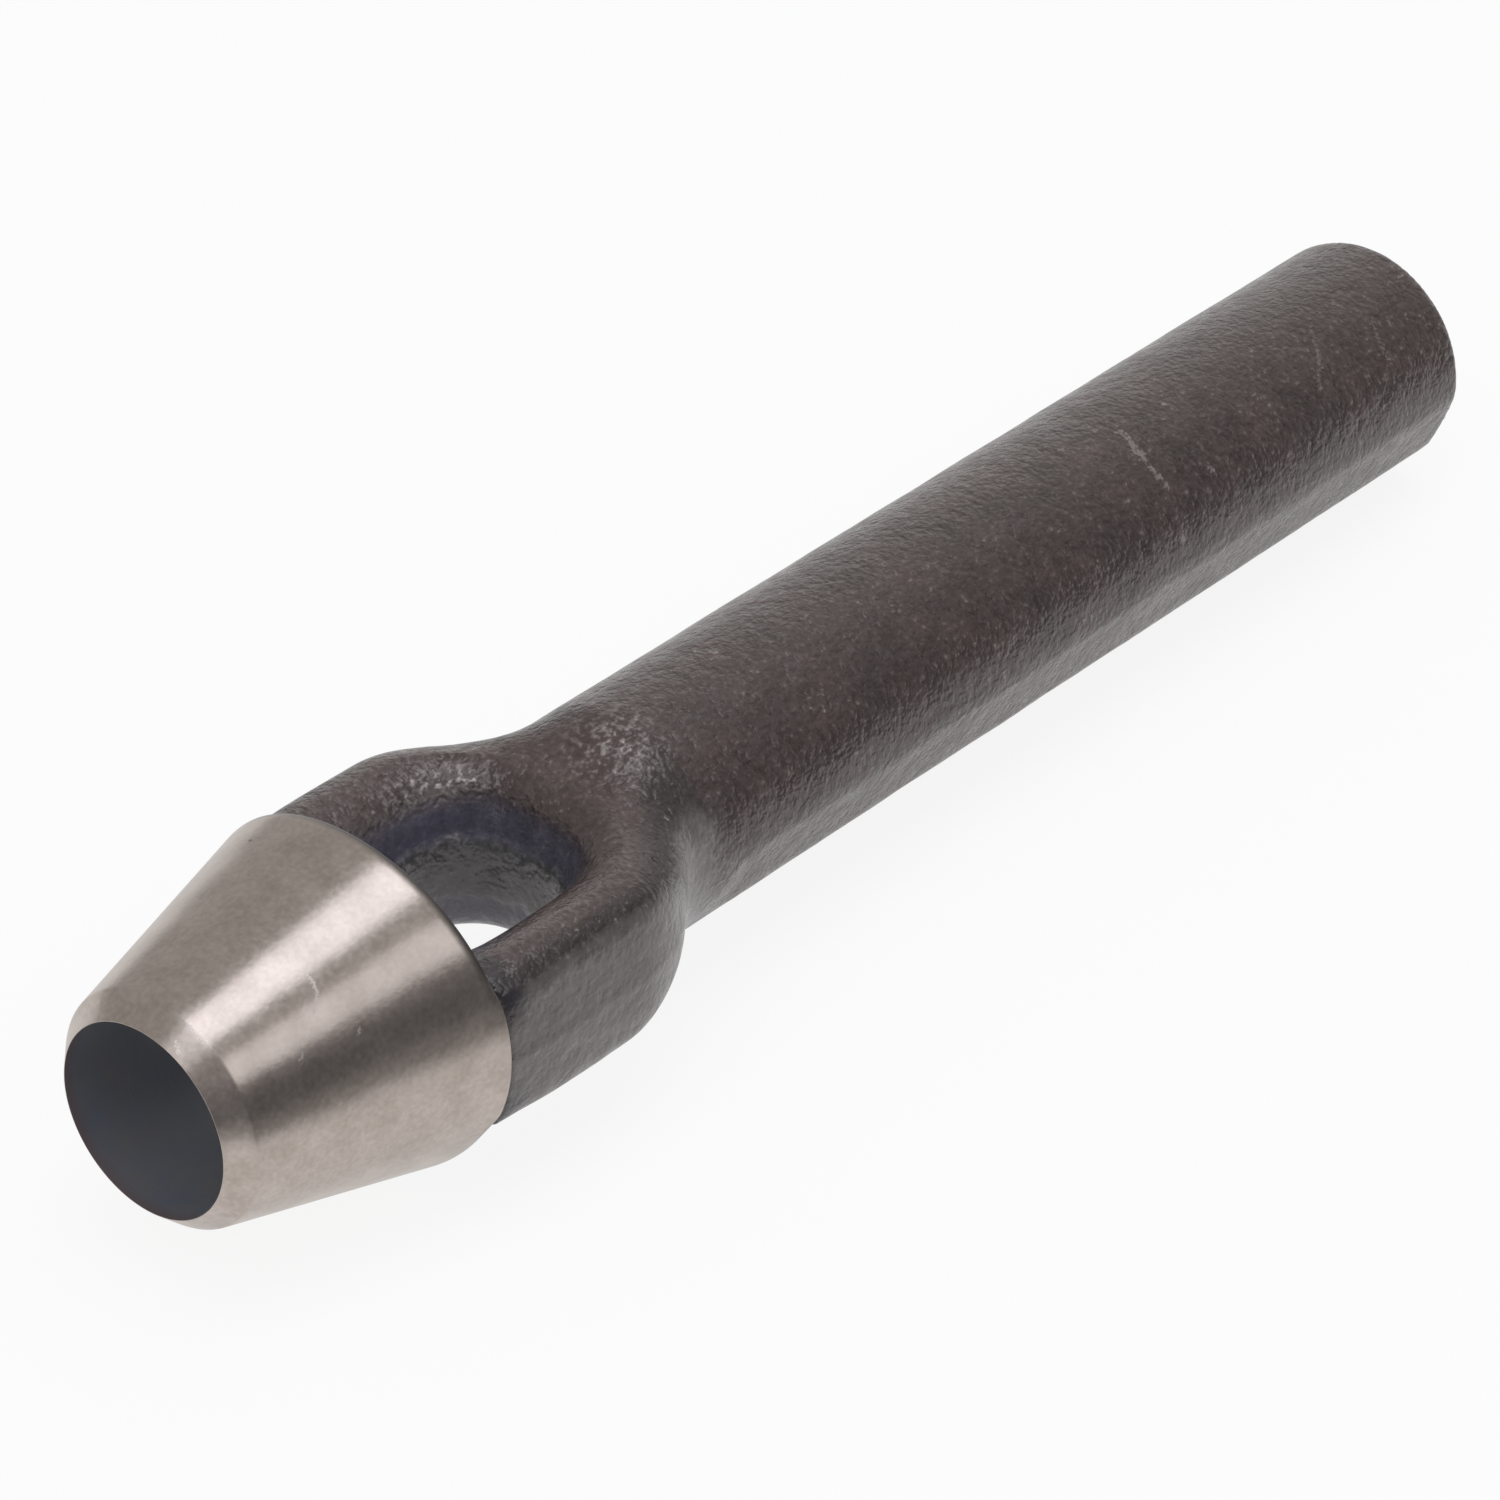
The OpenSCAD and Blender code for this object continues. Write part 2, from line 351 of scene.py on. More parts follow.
# How convex the skin is at each point: the scale is rubbed off there first
edges = np.zeros(len(forged_mesh.edges) * 2, dtype=np.int64)
forged_mesh.edges.foreach_get("vertices", edges)
near, far = edges.reshape(-1, 2).T
normal = vertices(forged_mesh, "normal")


def around(values):
    """Mean of each point's neighbours."""
    total = np.zeros_like(values)
    count = np.zeros(len(values))
    for p, q in ((near, far), (far, near)):
        np.add.at(total, p, values[q])
        np.add.at(count, p, 1)
    return total / count.reshape((-1,) + (1,) * (values.ndim - 1))


edge_bend, bend_rounds, ridge_rubbed = 0.012 * mm, 3, 0.9
bend = -np.einsum("ij,ij->i", around(co) - co, normal)
for _ in range(bend_rounds):
    bend = around(bend)

dark_h, dark_more, dark_front, dark_run = 3 * mm, 1.4 * mm, (19 * mm, 7 * mm), 1.6 * mm
dark_top = dark_h + dark_more * fade(x, *dark_front)
scale_masks = {
    # Rubbed grey: worn convex edges and parting ridge, plus the painted glint line of the flats' edges
    "rubbed_and_glint": np.maximum(bend / edge_bend * (1 - shoulder_shade), np.maximum(ridge_rubbed * ridge, edge_line)),
    "shoulder_shade": shoulder_shade,
    "crown": crown,
    "fillet": fillet,
    "polished_and_glints": polished_and_glints,
    "hollow": -bend / edge_bend,
    "collar_shade": collar_shade,
    "scraped_sides_reflection": scraped_sides_reflection,
    "sheared": sheared,
    "window": in_window * fade(z, dark_top, dark_run),
}
for name, values in scale_masks.items():
    set_mask(forged_mesh, name, values)
forged_mesh.shade_smooth()


def add(tree, kind, inputs=None, **settings):
    """Adds a shader node, whose inputs are given values or the sockets that feed them."""
    made = tree.nodes.new(kind)
    for name, value in settings.items():
        setattr(made, name, value)
    for name, value in (inputs or {}).items():
        if isinstance(value, bpy.types.NodeSocket):
            tree.links.new(value, made.inputs[name])
        else:
            made.inputs[name].default_value = value
    return made


def math_node(tree, operation, a, b=0.0, c=0.0, clamp=False):
    return add(tree, "ShaderNodeMath", {0: a, 1: b, 2: c}, operation=operation, use_clamp=clamp).outputs[0]


def vector_node(tree, operation, a, b):
    """Vector maths: (the vector that comes out, the number that comes out)."""
    return add(tree, "ShaderNodeVectorMath", {0: a, 1: b}, operation=operation).outputs


def scaled(tree, vector, factor):
    return add(tree, "ShaderNodeVectorMath", {0: vector, "Scale": factor}, operation="SCALE").outputs[0]


def spread(tree, value, low=0.0, high=1.0, to_low=0.0, to_high=1.0, **settings):
    """Stretches the values between low and high to another range."""
    ends = {"From Min": low, "From Max": high, "To Min": to_low, "To Max": to_high}
    return add(tree, "ShaderNodeMapRange", {"Value": value, **ends}, **settings).outputs[0]


def mix_colour(tree, share, a, b):
    made = add(tree, "ShaderNodeMix", {"Factor": share}, data_type="RGBA")
    for socket, value in ((made.inputs[6], a), (made.inputs[7], b)):
        if isinstance(value, bpy.types.NodeSocket):
            tree.links.new(value, socket)
        else:
            socket.default_value = (*value, 1)
    return made.outputs[2]


def noise_of(tree, place, size, detail, roughness=0.55):
    inputs = {"Vector": place, "Scale": math_node(tree, "DIVIDE", 1.0, size), "Detail": detail}
    return add(tree, "ShaderNodeTexNoise", {**inputs, "Roughness": roughness}).outputs["Fac"]


def bumped(tree, height, depth, normal=None):
    """Normal of a surface with bumps of this depth, on top of another normal if one is given."""
    inputs = {"Height": height, "Distance": depth, "Strength": 1.0}
    if normal is not None:
        inputs["Normal"] = normal
    return add(tree, "ShaderNodeBump", inputs).outputs[0]


def painted(tree, name):
    """Mask that is kept on the points of the mesh."""
    return add(tree, "ShaderNodeAttribute", attribute_name=name).outputs["Fac"]


def new_group(name, inputs, outputs):
    """Empty shader node group with named inputs and outputs: (group, its inputs' sockets, its end)."""
    group = bpy.data.node_groups.new(name, "ShaderNodeTree")
    for label, kind, value in inputs:
        socket = group.interface.new_socket(name=label, in_out="INPUT", socket_type=kind)
        if value is not None:
            socket.default_value = value
    for label, kind in outputs:
        group.interface.new_socket(name=label, in_out="OUTPUT", socket_type=kind)
    start = group.nodes.new("NodeGroupInput")
    end = group.nodes.new("NodeGroupOutput")
    return group, start.outputs, end


def placed(tree, group, **inputs):
    """Places a node group in a material and gives its outputs."""
    named = {k.replace("_", " "): v for k, v in inputs.items()}
    return add(tree, "ShaderNodeGroup", named, node_tree=group).outputs


def new_material(name):
    """Empty material: (material, its tree, the point on the surface in millimetres)."""
    material = bpy.data.materials.new(name)
    material.use_nodes = True
    tree = material.node_tree
    tree.nodes.clear()
    in_mm = scaled(tree, add(tree, "ShaderNodeTexCoord").outputs["Object"], 1 / mm)
    return material, tree, in_mm


def surface(tree, **inputs):
    shader = add(tree, "ShaderNodeBsdfPrincipled", {k.replace("_", " "): v for k, v in inputs.items()})
    tree.links.new(shader.outputs[0], add(tree, "ShaderNodeOutputMaterial").inputs[0])
    return shader


# Grain of raw steel: broad patches, lumps of the forge, fine pebbled grain, and bright specks on its tops
steel_grain, given, end = new_group(
    "steel_grain",
    [("Place", "NodeSocketVector", None), ("Patch size", "NodeSocketFloat", 4.0),
     ("Lump size", "NodeSocketFloat", 1.3), ("Grain size", "NodeSocketFloat", 0.42)],
    [("Patches", "NodeSocketFloat"), ("Lumps", "NodeSocketFloat"), ("Grain", "NodeSocketFloat"),
     ("Specks", "NodeSocketFloat")],
)
patch_detail, lump_detail, pebble_detail, pebble_rough = 4.0, 2.0, 1.0, 0.6
patch_range, lump_range = (0.35, 0.65), (0.3, 0.7)
pebble_range, speck_range = (0.10, 0.90), (0.66, 0.80)
patches = noise_of(steel_grain, given["Place"], given["Patch size"], patch_detail)
patches = spread(steel_grain, patches, *patch_range)
lumps = noise_of(steel_grain, given["Place"], given["Lump size"], lump_detail)
lumps = spread(steel_grain, lumps, *lump_range)
pebbles = noise_of(steel_grain, given["Place"], given["Grain size"], pebble_detail, pebble_rough)
specks = math_node(steel_grain, "MULTIPLY", spread(steel_grain, pebbles, *speck_range), patches)
pebbles = spread(steel_grain, pebbles, *pebble_range)
for label, value in (("Patches", patches), ("Lumps", lumps), ("Grain", pebbles), ("Specks", specks)):
    steel_grain.links.new(value, end.inputs[label])

# A ragged scratch between two points, with its width in millimetres
scratch, given, end = new_group(
    "scratch",
    [("Place", "NodeSocketVector", None), ("From", "NodeSocketVector", None),
     ("To", "NodeSocketVector", None), ("Width", "NodeSocketFloat", 0.2)],
    [("Mark", "NodeSocketFloat")],
)
ragged_size, ragged_detail, ragged_depth, ragged_middle, mark_range = 0.8, 2.0, 4.0, 1.0, (0.15, 0.75)
run = vector_node(scratch, "SUBTRACT", given["To"], given["From"])[0]
away = vector_node(scratch, "SUBTRACT", given["Place"], given["From"])[0]
along = math_node(scratch, "DIVIDE", vector_node(scratch, "DOT_PRODUCT", away, run)[1],
                  vector_node(scratch, "DOT_PRODUCT", run, run)[1], clamp=True)
gap = vector_node(scratch, "DISTANCE", away, scaled(scratch, run, along))[1]
tooth = math_node(scratch, "MULTIPLY", given["Width"], ragged_size)
ragged_edge = noise_of(scratch, given["Place"], tooth, ragged_detail)
ragged_edge = math_node(scratch, "MULTIPLY", ragged_edge, ragged_depth)
ragged_edge = math_node(scratch, "SUBTRACT", ragged_edge, ragged_middle)
inside_edge = math_node(scratch, "SUBTRACT", ragged_edge, math_node(scratch, "DIVIDE", gap, given["Width"]))
scratch.links.new(spread(scratch, inside_edge, *mark_range), end.inputs["Mark"])


def marks_of(tree, place, on_surface, strokes):
    """One mask for a list of scratches, each with a width and the places that it runs through."""
    total = 0.0
    for width, places in strokes:
        ends = [on_surface(*at) for at in places]
        for start, stop in zip(ends, ends[1:]):
            drawn = placed(tree, scratch, Place=place, From=start, To=stop, Width=width)
            total = math_node(tree, "MAXIMUM", total, drawn["Mark"])
    return total


def at_angle(x, radius, angle):
    """Point at an angle round the axis in degrees, which counts from the near side upwards."""
    return x, -radius * math.cos(math.radians(angle)), radius * math.sin(math.radians(angle))


def on_shank(x, angle):
    return at_angle(x, shank_r / mm, angle)


def on_near_wall(x, z):
    return x, -half_width(x * mm) / mm * (1 - draft * abs(z) * mm / crown_half), z


# Scale: brown-black on the outside, blue-black in the hollows, grey where it is rubbed or sheared, with
# painted light and shade
scale_black, scale_brown = (0.040, 0.029, 0.0275), (0.062, 0.044, 0.040)
hollow_blue, collar_shade_black = (0.093, 0.089, 0.117), (0.024, 0.023, 0.028)
shoulder_shade_black, crown_lit_brown = (0.027, 0.021, 0.021), (0.086, 0.060, 0.053)
rubbed_and_glint_grey, speck_grey = (0.092, 0.078, 0.074), (0.17, 0.15, 0.14)
sheared_grey, side_reflection_grey = (0.085, 0.085, 0.087), (0.108, 0.098, 0.094)
fillet_grey, scuff_grey = (0.158, 0.147, 0.143), (0.24, 0.215, 0.205)
bare_steel_glint, bare_metal, bare_range = (0.36, 0.33, 0.32), 0.6, (0.5, 0.75)
crown_lit_share, hollow_share = 0.5, 0.5
scuff_share, faint_share, scrape_share = 0.75, 0.42, 0.28
scale_ior, scale_tint, scale_rough = 1.64, (1.0, 0.91, 0.88), (0.22, 0.36)
grain_h, lump_h, grain_dark, lump_dark = 0.082 * mm, 0.06 * mm, 0.42, 0.88
smoothed, grain_middle = -0.5, 0.5

# Scuffs by their width in mm, and by the places they run through: x in mm, and the angle or z in mm
shank_scuffs = [
    (0.34, [(88.6, 76), (88.3, 67)]), (0.40, [(88.3, 67), (88.1, 59)]), (0.30, [(88.1, 53), (88.5, 42)]),
    (0.26, [(92.7, 39), (92.9, 37)]), (0.30, [(88.3, 16), (88.4, 14)]),
]
faint_scuffs = [
    (0.22, [(108.8, 71), (107.9, 63), (107.3, 56), (106.3, 49), (105.6, 42)]),
    (0.22, [(113.6, 56), (113.1, 48), (112.8, 37)]), (0.24, [(112.1, 75), (112.4, 71)]),
]
wall_scrapes = [
    (0.45, [(23.5, -1.5), (28.5, -2.8)]), (0.40, [(28.5, -2.8), (32.0, -3.5)]),
    (0.40, [(20.3, 3.2), (25.5, 3.7)]),
]

forged_scale, tree, place = new_material("forged_scale")
skin_grain = placed(tree, steel_grain, Place=place)
mask = {name: painted(tree, name) for name in scale_masks}
in_hollow = math_node(tree, "MULTIPLY", mask["hollow"], hollow_share)
colour = mix_colour(tree, skin_grain["Patches"], scale_black, scale_brown)
for share, paint in (
    # Crowns: painted light from above
    (math_node(tree, "MULTIPLY", mask["crown"], crown_lit_share), crown_lit_brown),
    # Shoulders: painted shade
    (mask["shoulder_shade"], shoulder_shade_black),
    # Sides: painted reflection of the floor
    (mask["scraped_sides_reflection"], side_reflection_grey),
    # Fillets: painted reflection of the floor
    (mask["fillet"], fillet_grey),
    (math_node(tree, "MAXIMUM", in_hollow, mask["window"], clamp=True), hollow_blue),
    (math_node(tree, "MULTIPLY", mask["rubbed_and_glint"], skin_grain["Grain"]), rubbed_and_glint_grey),
    (mask["sheared"], sheared_grey),
    (skin_grain["Specks"], speck_grey),
    # Collar: painted shade
    (mask["collar_shade"], collar_shade_black),
):
    colour = mix_colour(tree, share, colour, paint)

scraped = math_node(tree, "MAXIMUM", mask["window"], mask["scraped_sides_reflection"])
grain_left = math_node(tree, "MULTIPLY_ADD", scraped, smoothed, 1.0)
grain_seen = math_node(tree, "SUBTRACT", skin_grain["Grain"], grain_middle)
grain_seen = math_node(tree, "MULTIPLY_ADD", grain_seen, grain_left, grain_middle)
shade = math_node(tree, "MULTIPLY",
                  spread(tree, grain_seen, to_low=grain_dark, to_high=2 - grain_dark),
                  spread(tree, skin_grain["Lumps"], to_low=lump_dark, to_high=2 - lump_dark))
colour = scaled(tree, colour, shade)
for on_surface, strokes, strength in (
    (on_shank, shank_scuffs, scuff_share),
    (on_shank, faint_scuffs, faint_share),
    (on_near_wall, wall_scrapes, scrape_share),
):
    marks = marks_of(tree, place, on_surface, strokes)
    colour = mix_colour(tree, math_node(tree, "MULTIPLY", marks, strength), colour, scuff_grey)

# Bare metal on the grain's tops where polished: partly worn steel, partly a painted glint
bare_and_glints = math_node(tree, "MULTIPLY", mask["polished_and_glints"], spread(tree, skin_grain["Grain"], *bare_range))
colour = mix_colour(tree, bare_and_glints, colour, bare_steel_glint)
metal = math_node(tree, "MULTIPLY", bare_and_glints, bare_metal)
rough = spread(tree, skin_grain["Lumps"], to_low=scale_rough[0], to_high=scale_rough[1])
pebbled = bumped(tree, grain_seen, grain_h, bumped(tree, skin_grain["Lumps"], lump_h))
shader = surface(tree, Base_Color=colour, Roughness=rough, Metallic=metal, Normal=pebbled, IOR=scale_ior)
shader.inputs["Specular Tint"].default_value = (*scale_tint, 1)
forged_mesh.materials.clear()
forged_mesh.materials.append(forged_scale)
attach(forging, "root")
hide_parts("eye", "shank")


# The cutting head: the front of the same bar, turned to a cone, bored through and ground bright.
# A honed bevel makes the cutting edge, and the grinding marks run round the axis.
# The bore and the rear face keep the blue-black skin of the hardening.
cut_r, lip_wall, bevel_l = 6.25 * mm, 1.35 * mm, 1.45 * mm
bore_land_l = 6 * mm
rim_round, rim_round_l = 0.45 * mm, 0.9 * mm
lip_flat, bevel_soft = 0.03 * mm, 0.12 * mm
arm_turn, arm_turn_run = 18, 14
turns = 256
bevel_steps, cone_steps, rim_steps, rear_steps, relief_steps, land_steps = 6, 44, 11, 7, 10, 8


def straight(a, b, steps):
    """Points from a to b in the (x, r) plane of a turned profile."""
    return [np.array(a) + (np.array(b) - np.array(a)) * t for t in np.linspace(0, 1, steps)]


def between_arms(angle):
    """0 where the head's rim sits on an arm, 1 where it is free between the arms."""
    return rise(math.degrees(math.acos(abs(math.cos(angle)))), arm_turn, arm_turn_run)


def head_profile(angle):
    """Closed outline of the head at one angle round the axis: (points outside, points inside)."""
    across = math.cos(angle)
    rim_x = head_l - hollow(head_r * across)
    lip = np.array([0, cut_r + lip_flat])
    bevel_end = np.array([bevel_l, cut_r + lip_wall])
    round_start = np.array([rim_x - rim_round_l, head_r + (rim_x - rim_round_l - head_l) * cone_slope])
    before = bevel_end + (lip - bevel_end) * bevel_soft / np.linalg.norm(lip - bevel_end)
    after = bevel_end + (round_start - bevel_end) * bevel_soft / np.linalg.norm(round_start - bevel_end)
    outside = straight(lip, before, bevel_steps)
    outside += [(before + after) / 4 + bevel_end / 2]
    outside += straight(after, round_start, cone_steps)
    free = between_arms(angle)
    for share in np.sin(np.radians(np.linspace(0, 90, rim_steps + 1)))[1:]:
        fall = free * rim_round * (1 - math.sqrt(max(0, 1 - share**2)))
        step = rim_round_l * share
        outside.append(round_start + np.array([step, step * cone_slope - fall]))
    rear = [np.array([head_l - hollow(r * across), r])
            for r in np.linspace(outside[-1][1], bore_rear_r, rear_steps)]
    land_end = (bore_land_l, cut_r)
    inside = rear[1:] + straight(rear[-1], land_end, relief_steps)[1:]
    inside += straight(land_end, (0, cut_r), land_steps)[1:]
    return outside, inside


angles = np.arange(turns) * 2 * math.pi / turns
profiles = [head_profile(a) for a in angles]
outside_n, inside_n = len(profiles[0][0]), len(profiles[0][1])
count = outside_n + inside_n
profile_x, profile_r = np.array([outside + inside for outside, inside in profiles]).T
head_points = np.stack([profile_x, profile_r * np.cos(angles), profile_r * np.sin(angles)], -1)
head_faces = [(k * turns + i, k * turns + (i + 1) % turns,
               (k + 1) % count * turns + (i + 1) % turns, (k + 1) % count * turns + i)
              for k in range(count) for i in range(turns)]
head_mesh = bpy.data.meshes.new("ground_head")
head_mesh.from_pydata(head_points.reshape(-1, 3).tolist(), [], head_faces)
head = bpy.data.objects.new("ground_head", head_mesh)
bpy.context.scene.collection.objects.link(head)

# Ground cone and bevel in front, blue-black skin inside and behind
rim_steep, sharp_turn = 2.2, math.radians(25)
in_bore = np.zeros(len(head_mesh.polygons), dtype=np.int32)
in_bore[(outside_n - 1) * turns:(count - 1) * turns] = 1
head_mesh.polygons.foreach_set("material_index", in_bore)
# The rounding of the free rim between the arms is painted dark grey: painted shade
free_rim = np.array([between_arms(a) for a in angles])
rim_shade_mask = np.zeros((count, turns))
rim_ramp = np.linspace(0, rim_steep, rim_steps).clip(0, 1)
rim_shade_mask[outside_n - rim_steps:outside_n] = rim_ramp[:, None] * free_rim
set_mask(head_mesh, "rim", rim_shade_mask.ravel())
head_mesh.shade_smooth()
head_mesh.set_sharp_from_angle(angle=sharp_turn)

# Fine lines that a wheel or a tool leaves round the axis
turned_lines, given, end = new_group(
    "turned_lines",
    [("Place", "NodeSocketVector", None), ("Line width", "NodeSocketFloat", 0.08),
     ("Line length", "NodeSocketFloat", 6.0)],
    [("Lines", "NodeSocketFloat"), ("Streaks", "NodeSocketFloat")],
)
streak_widen, line_detail, line_rough = 6.0, 3.0, 0.6
parts = add(turned_lines, "ShaderNodeSeparateXYZ", {0: given["Place"]}).outputs
for label, widen in (("Lines", 1.0), ("Streaks", streak_widen)):
    line_width = math_node(turned_lines, "MULTIPLY", given["Line width"], widen)
    drawn = add(turned_lines, "ShaderNodeCombineXYZ", {
        0: math_node(turned_lines, "DIVIDE", parts[0], line_width),
        1: math_node(turned_lines, "DIVIDE", parts[1], given["Line length"]),
        2: math_node(turned_lines, "DIVIDE", parts[2], given["Line length"]),
    }).outputs[0]
    lines = noise_of(turned_lines, drawn, 1.0, line_detail, line_rough)
    turned_lines.links.new(lines, end.inputs[label])


def on_cone(x, angle):
    bevel_r, cone_r = cut_r + lip_wall * x * mm / bevel_l, head_r + (x * mm - head_l) * cone_slope
    return at_angle(x, min(bevel_r, cone_r) / mm, angle)


steel_light, steel_dark = (0.52, 0.455, 0.412), (0.385, 0.333, 0.296)
scratch_and_glint_light, scratch_share, scratch_rough = (0.74, 0.68, 0.64), 0.7, 0.2
pit_dark, pit_share = (0.06, 0.055, 0.05), 0.85
rim_shade_grey = (0.085, 0.081, 0.078)
frost_h, line_h, patch_share, tone_range = 0.0034 * mm, 0.0012 * mm, 0.5, (0.3, 1.2)
steel_rough, wheel_pull, wheel_turn = (0.26, 0.34), 0.76, 0.25

# Scratches of the cone and bevel, and one pit: the width in mm, and the x in mm and angle they run through
# The last two, on the bevel and along its edge with the cone, are painted glints where the lamp catches it
cone_scratches_and_glints = [
    (0.13, [(8.44, 59.6), (8.42, 56.1)]), (0.15, [(8.42, 56.1), (8.26, 52.5)]),
    (0.13, [(8.26, 52.5), (7.44, 47.3)]), (0.15, [(5.65, 36.4), (5.40, 34.3)]),
    (0.16, [(9.35, 34.0), (9.25, 33.4)]), (0.16, [(1.42, 71.1), (1.38, 60.9)]),
    (0.15, [(0.53, 71.4), (0.30, 66.6)]),
]
cone_pits = [(0.30, [(14.38, 119.4), (14.40, 119.2)])]

ground_steel, tree, place = new_material("ground_steel")
wheel = placed(tree, turned_lines, Place=place)
skin_grain = placed(tree, steel_grain, Place=place, Patch_size=2.2, Grain_size=0.36)
tone = math_node(tree, "ADD", math_node(tree, "MULTIPLY", skin_grain["Patches"], patch_share),
                 spread(tree, skin_grain["Grain"], *tone_range), clamp=True)
scratches = marks_of(tree, place, on_cone, cone_scratches_and_glints)
pits = marks_of(tree, place, on_cone, cone_pits)
colour = mix_colour(tree, tone, steel_dark, steel_light)
# Free rim: painted shade
colour = mix_colour(tree, painted(tree, "rim"), colour, rim_shade_grey)
# Light scratches, and the painted glints on the bevel
colour = mix_colour(tree, math_node(tree, "MULTIPLY", scratches, scratch_share), colour, scratch_and_glint_light)
colour = mix_colour(tree, math_node(tree, "MULTIPLY", pits, pit_share), colour, pit_dark)
rough = spread(tree, skin_grain["Grain"], to_low=steel_rough[0], to_high=steel_rough[1])
rough = math_node(tree, "ADD", rough, math_node(tree, "MULTIPLY", scratches, scratch_rough))
frosted = bumped(tree, skin_grain["Grain"], frost_h, bumped(tree, wheel["Lines"], line_h))
round_axis = add(tree, "ShaderNodeTangent", direction_type="RADIAL", axis="X")
shader = surface(tree, Base_Color=colour, Roughness=rough, Normal=frosted, Metallic=1.0,
                 Anisotropic=wheel_pull, Tangent=round_axis.outputs[0])
shader.inputs["Anisotropic Rotation"].default_value = wheel_turn

# The bore: blue-black, a little browner at the lip and paler towards the window
bore_blue, bore_brown, lip_brown = (0.158, 0.174, 0.206), (0.188, 0.184, 0.192), (0.135, 0.106, 0.112)
bore_shade, bore_shade_l, lip_zone = (0.72, 1.75), 13.0, (0.9, 0.2)
bore_rough, bore_line_h, bore_ior = (0.35, 0.6), 0.01 * mm, 1.7
blue_black, tree, place = new_material("blue_black_bore")
tool = placed(tree, turned_lines, Place=place, Line_width=0.15)
skin_grain = placed(tree, steel_grain, Place=place, Patch_size=3.0)
depth = add(tree, "ShaderNodeSeparateXYZ", {0: place}).outputs[0]
shade = spread(tree, depth, high=bore_shade_l, to_low=bore_shade[0], to_high=bore_shade[1])
colour = scaled(tree, mix_colour(tree, skin_grain["Patches"], bore_blue, bore_brown), shade)
colour = mix_colour(tree, spread(tree, depth, *lip_zone), colour, lip_brown)
rough = spread(tree, tool["Streaks"], to_low=bore_rough[0], to_high=bore_rough[1])
lined = bumped(tree, tool["Lines"], bore_line_h)
surface(tree, Base_Color=colour, Roughness=rough, Normal=lined, IOR=bore_ior)
head_mesh.materials.append(ground_steel)
head_mesh.materials.append(blue_black)
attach(head, "root")
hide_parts("cutting_head")


# The floor: a plain pale sheet on which the punch lies, on the rim of its head and the end of its shank.
# It isn't part of the object.
rim_x = rear_x - rim_round_l / 2
rim_r = head_r + (rim_x - head_l) * cone_slope
tilt = math.atan((rim_r - shank_r) / (tail - struck_chamfer - rim_x))
floor_gap, floor_r, floor_points = 0.08 * mm, 1.6, 96
floor_turn = np.arange(floor_points) * 2 * math.pi / floor_points
floor_rim = [(floor_r * math.cos(a), floor_r * math.sin(a), 0) for a in floor_turn]
floor_mesh = bpy.data.meshes.new("floor")
floor_mesh.from_pydata(floor_rim, [], [tuple(range(floor_points))])
floor = bpy.data.objects.new("floor", floor_mesh)
bpy.context.scene.collection.objects.link(floor)
floor.location = (rim_x, 0, -rim_r - floor_gap)
floor.rotation_euler = (0, -tilt, 0)

# White to the camera and in reflections, with the shadow left in; dimmer in front, from y in mm
sheet_grey, sheet_white, sheet_rough = (0.94, 0.94, 0.94), (0.96, 0.96, 0.96), 0.9
fibre_look = {"Scale": 2.0, "Detail": 3.0}
dim_from, dim_to, dim_glow = -35.0, -66.0, 0.18
seen_white, mirrored_white = 0.88, 0.85
pale, tree, place = new_material("pale_sheet")
fibres = add(tree, "ShaderNodeTexNoise", {"Vector": place, **fibre_look}).outputs["Fac"]
colour = mix_colour(tree, fibres, sheet_grey, sheet_white)
sheet = surface(tree, Base_Color=colour, Roughness=sheet_rough)
rays = add(tree, "ShaderNodeLightPath").outputs
ahead = add(tree, "ShaderNodeSeparateXYZ", {0: place}).outputs[1]
dimmed = spread(tree, ahead, dim_to, dim_from, dim_glow, 1.0)
glow = math_node(tree, "MAXIMUM", dimmed, rays["Is Camera Ray"])
white = add(tree, "ShaderNodeEmission", {"Color": glow, "Strength": 1.0})
mirrored = math_node(tree, "MAXIMUM", rays["Is Glossy Ray"], rays["Is Transmission Ray"])
share = math_node(tree, "ADD", math_node(tree, "MULTIPLY", rays["Is Camera Ray"], seen_white),
                  math_node(tree, "MULTIPLY", mirrored_white, mirrored), clamp=True)
lit_sheet = add(tree, "ShaderNodeMixShader", {0: share, 1: sheet.outputs[0], 2: white.outputs[0]})
tree.links.new(lit_sheet.outputs[0], tree.nodes["Material Output"].inputs[0])
floor_mesh.materials.append(pale)


# Studio: the camera looks down on the near side, with the head towards it.
# A long soft box hangs overhead and a small one stands in front. The room is dim in front and paler behind.
camera_data = bpy.data.cameras.new("camera")
camera_data.lens, camera_data.sensor_width = 145.17, 36
camera_data.shift_x, camera_data.shift_y = -0.0017, -0.0007
camera_data.clip_start, camera_data.clip_end = 0.01, 20
camera = bpy.data.objects.new("camera", camera_data)
bpy.context.scene.collection.objects.link(camera)
camera_place = (-0.19231, -0.193487, 0.208124)
right, up = Vector((0.6387, -0.7685, 0.0407)), Vector((0.4060, 0.3814, 0.8305))
back = Vector((-0.6537, -0.5139, 0.5555))
camera.matrix_world = Matrix.Translation(camera_place) @ Matrix((right, up, back)).transposed().to_4x4()
bpy.context.scene.camera = camera


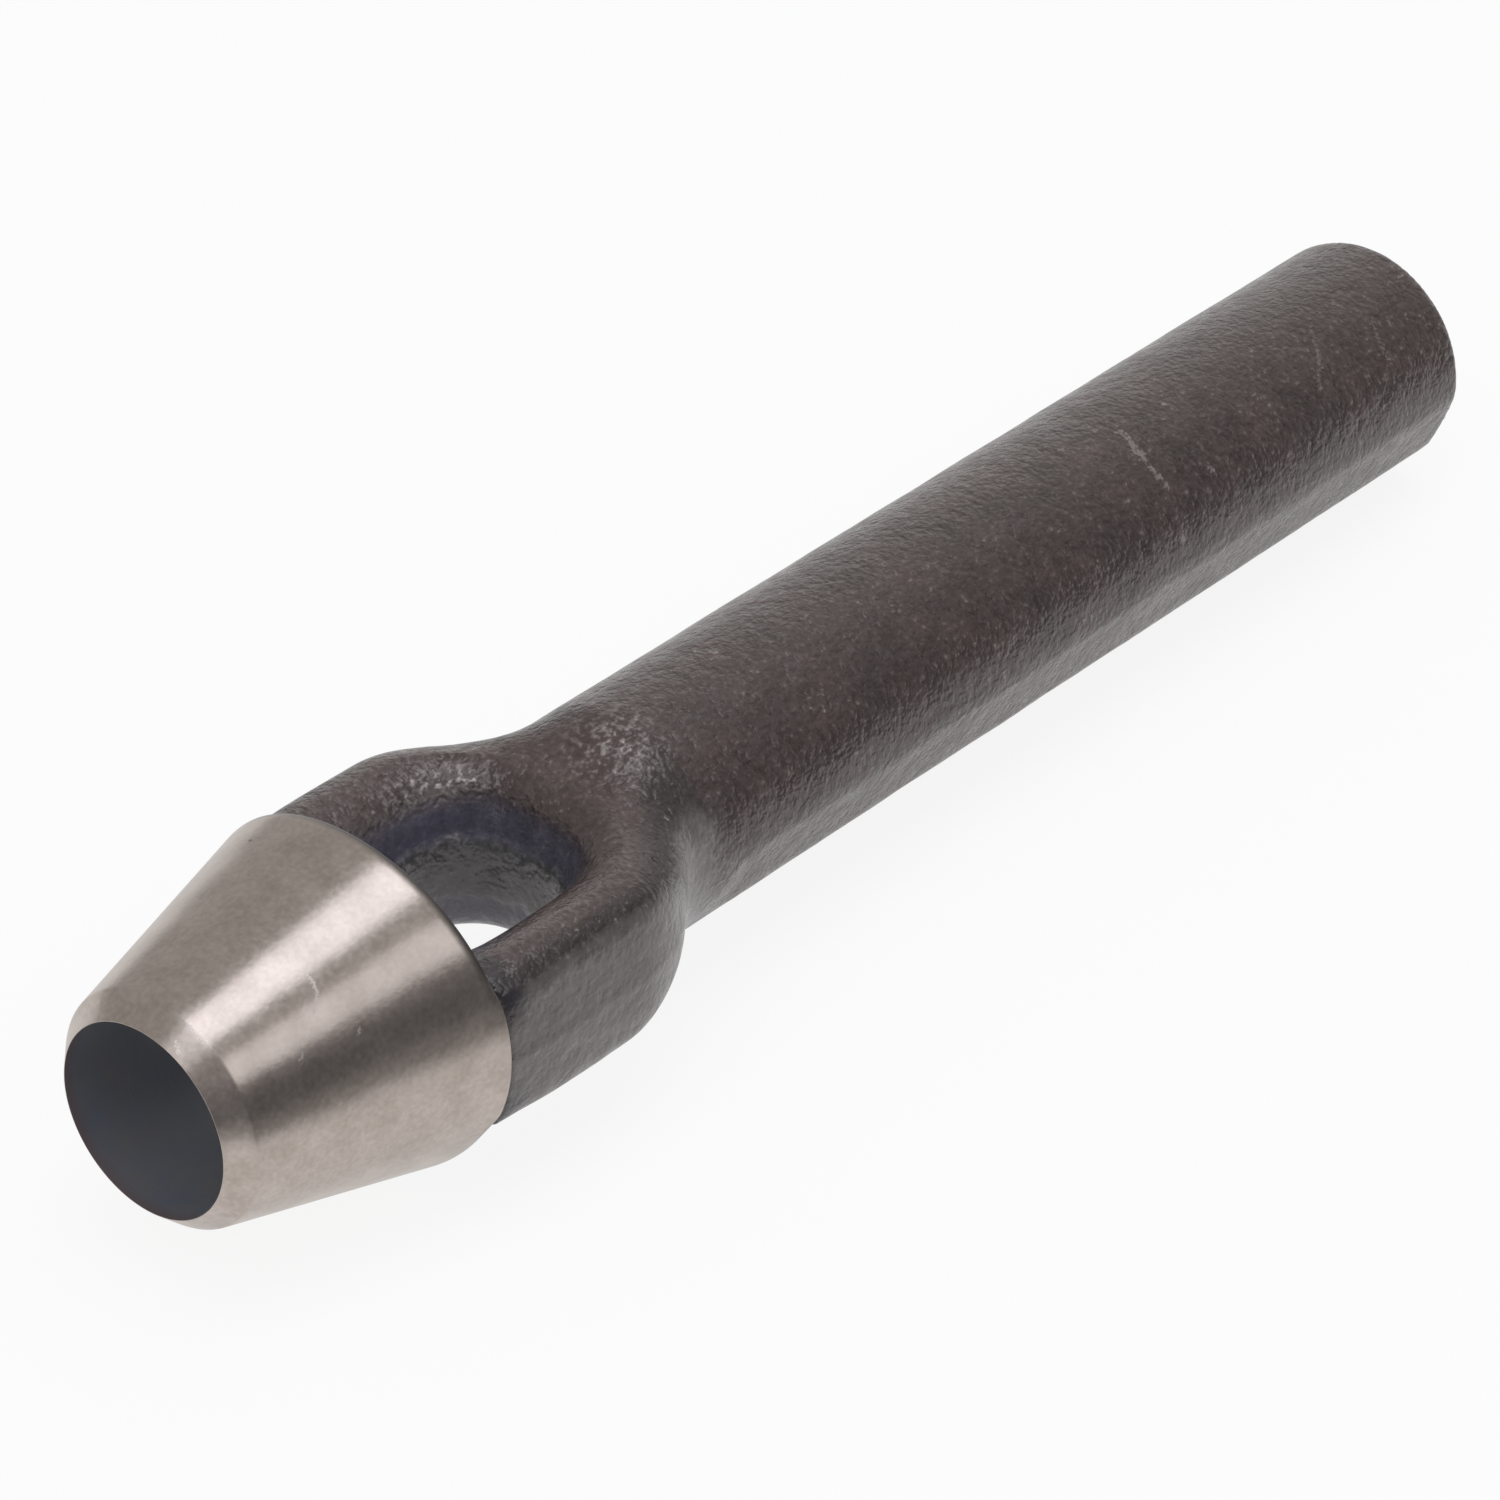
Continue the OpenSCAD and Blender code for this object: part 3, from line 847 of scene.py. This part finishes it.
def soft_box(name, towards, distance, size, radiance, tint):
    """Rectangular lamp that faces the middle of the punch."""
    data = bpy.data.lights.new(name, "AREA")
    data.shape, data.size, data.size_y = "RECTANGLE", size[0], size[1]
    data.energy, data.color = radiance * math.pi * size[0] * size[1], tint
    lamp = bpy.data.objects.new(name, data)
    bpy.context.scene.collection.objects.link(lamp)
    out = Vector(towards).normalized()
    across = out.cross(Vector((1, 0, 0))).normalized()
    along = across.cross(out)
    middle = Vector((tail / 2, 0, 0)) + out * distance
    lamp.matrix_world = Matrix.Translation(middle) @ Matrix((along, across, out)).transposed().to_4x4()


soft_box("overhead_box", (-0.20, -0.103, 0.974), 0.7, (1.0, 0.355), 1.78, (0.97, 1.0, 1.10))
soft_box("front_box", (0.05, -0.726, 0.677), 0.8, (0.6, 0.31), 1.06, (0.98, 1.0, 1.05))

dim_front, pale_behind = (0.158, 0.156, 0.172), (0.50, 0.49, 0.48)
near_tail, far_tail = (0.22, 0.21, 0.21), (0.95, 0.93, 0.91)
behind_range, high_range = (-0.75, 0.25), (0.25, 0.75)
tail_range, tail_side_range = (0.35, 0.75), (-0.8, 0.5)
room = bpy.data.worlds.new("room")
room.use_nodes = True
bpy.context.scene.world = room
tree = room.node_tree
tree.nodes.clear()
out_there = add(tree, "ShaderNodeTexCoord").outputs["Generated"]
towards = add(tree, "ShaderNodeSeparateXYZ", {0: out_there}).outputs
behind = spread(tree, towards[1], *behind_range, interpolation_type="SMOOTHSTEP")
high = spread(tree, towards[2], *high_range, interpolation_type="SMOOTHSTEP")
at_tail = spread(tree, towards[0], *tail_range, interpolation_type="SMOOTHSTEP")
light = mix_colour(tree, math_node(tree, "MAXIMUM", behind, high), dim_front, pale_behind)
tail_light = mix_colour(tree, spread(tree, towards[1], *tail_side_range), near_tail, far_tail)
sky = add(tree, "ShaderNodeBackground", {"Color": mix_colour(tree, at_tail, light, tail_light)})
tree.links.new(sky.outputs[0], add(tree, "ShaderNodeOutputWorld").inputs[0])

bpy.context.scene.view_settings.view_transform = "Standard"
